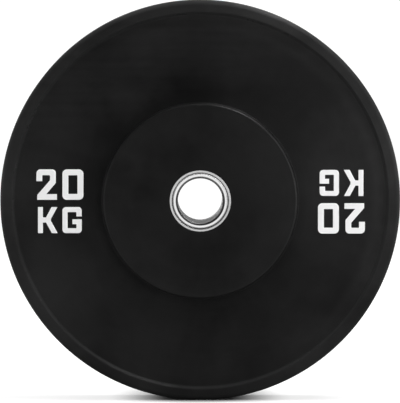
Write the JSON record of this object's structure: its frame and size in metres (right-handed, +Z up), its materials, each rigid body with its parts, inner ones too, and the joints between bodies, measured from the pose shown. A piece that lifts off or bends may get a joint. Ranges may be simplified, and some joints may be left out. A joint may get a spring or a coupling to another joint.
{
  "type": "bumper plate",
  "caption": "Black rubber bumper plate for an Olympic barbell: raised boss, recessed web, rim lip and a steel hub with stainless liners round the bore.",
  "frame": {"origin": "the middle of the bore, at the middle plane of the plate", "axes": "+Y along the plate's axis, from the front face to the rear, and +Z up, with the plate standing on its tread"},
  "size_m": [0.45, 0.09, 0.45],
  "materials": {
    "rubber": "black vulcanised rubber, satin, very slightly mottled",
    "sleeve_steel": "turned steel, bright",
    "stainless": "turned stainless steel, bright",
    "plain_steel": "plain mild steel, dull, hidden in the rubber",
    "weight_mark": "white rubber, matt"
  },
  "bodies": {
    "root": {"rubber_body": "rubber", "hub_sleeve": "sleeve_steel", "front_bush": "stainless", "rear_bush": "stainless", "anchor_disc": "plain_steel"}
  },
  "joints": []
}
